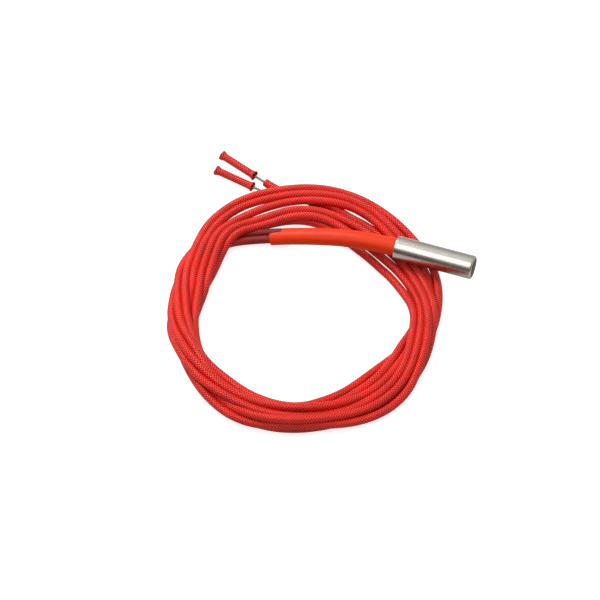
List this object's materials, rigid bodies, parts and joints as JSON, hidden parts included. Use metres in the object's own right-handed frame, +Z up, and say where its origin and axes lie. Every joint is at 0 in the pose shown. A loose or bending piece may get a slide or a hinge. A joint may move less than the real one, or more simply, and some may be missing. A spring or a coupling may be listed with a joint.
{
  "type": "cartridge heater",
  "caption": "Slim round heater in a closed steel sheath, with a short fibre sleeve and two long red leads wound together into a loose coil.",
  "frame": {"origin": "on the sheath's axis at the middle of its length", "axes": "+X along the sheath's axis to its closed end, +Z up from the surface that the lead coil lies on, +Y level to the side of the stripped ends"},
  "size_m": [0.0745, 0.0826, 0.0109],
  "materials": {
    "sheath_steel": "drawn and polished stainless tube",
    "disc_steel": "welded stainless disc, matt",
    "coated_sleeve": "coated glass-fibre sleeve, satin",
    "lead_braid": "lacquered glass-fibre braid",
    "white_ceramic": "fired, matt",
    "magnesia_powder": "packed powder",
    "cement": "cast cement",
    "nichrome": "drawn resistance wire",
    "nickel": "drawn nickel"
  },
  "bodies": {
    "root": {"sheath": "sheath_steel", "end_disc": "disc_steel", "glass_sleeve": "coated_sleeve", "hot_end_insulator": "white_ceramic", "ceramic_core": "white_ceramic", "cold_end_insulator": "white_ceramic", "resistance_coil": "nichrome", "magnesia_fill": "magnesia_powder", "potting": "cement", "terminal_pin_1": "nickel", "terminal_pin_2": "nickel", "crimp_barrel_1": "nickel", "crimp_barrel_2": "nickel", "conductor_stub_1": "nickel", "conductor_stub_2": "nickel", "lead_1_tail": "lead_braid", "lead_2_tail": "lead_braid", "lead_coil": "lead_braid", "lead_1_end": "lead_braid", "insulation_slug_1": "lead_braid", "insulation_slug_2": "lead_braid", "bare_conductor_1": "nickel", "bare_conductor_2": "nickel"}
  },
  "joints": []
}
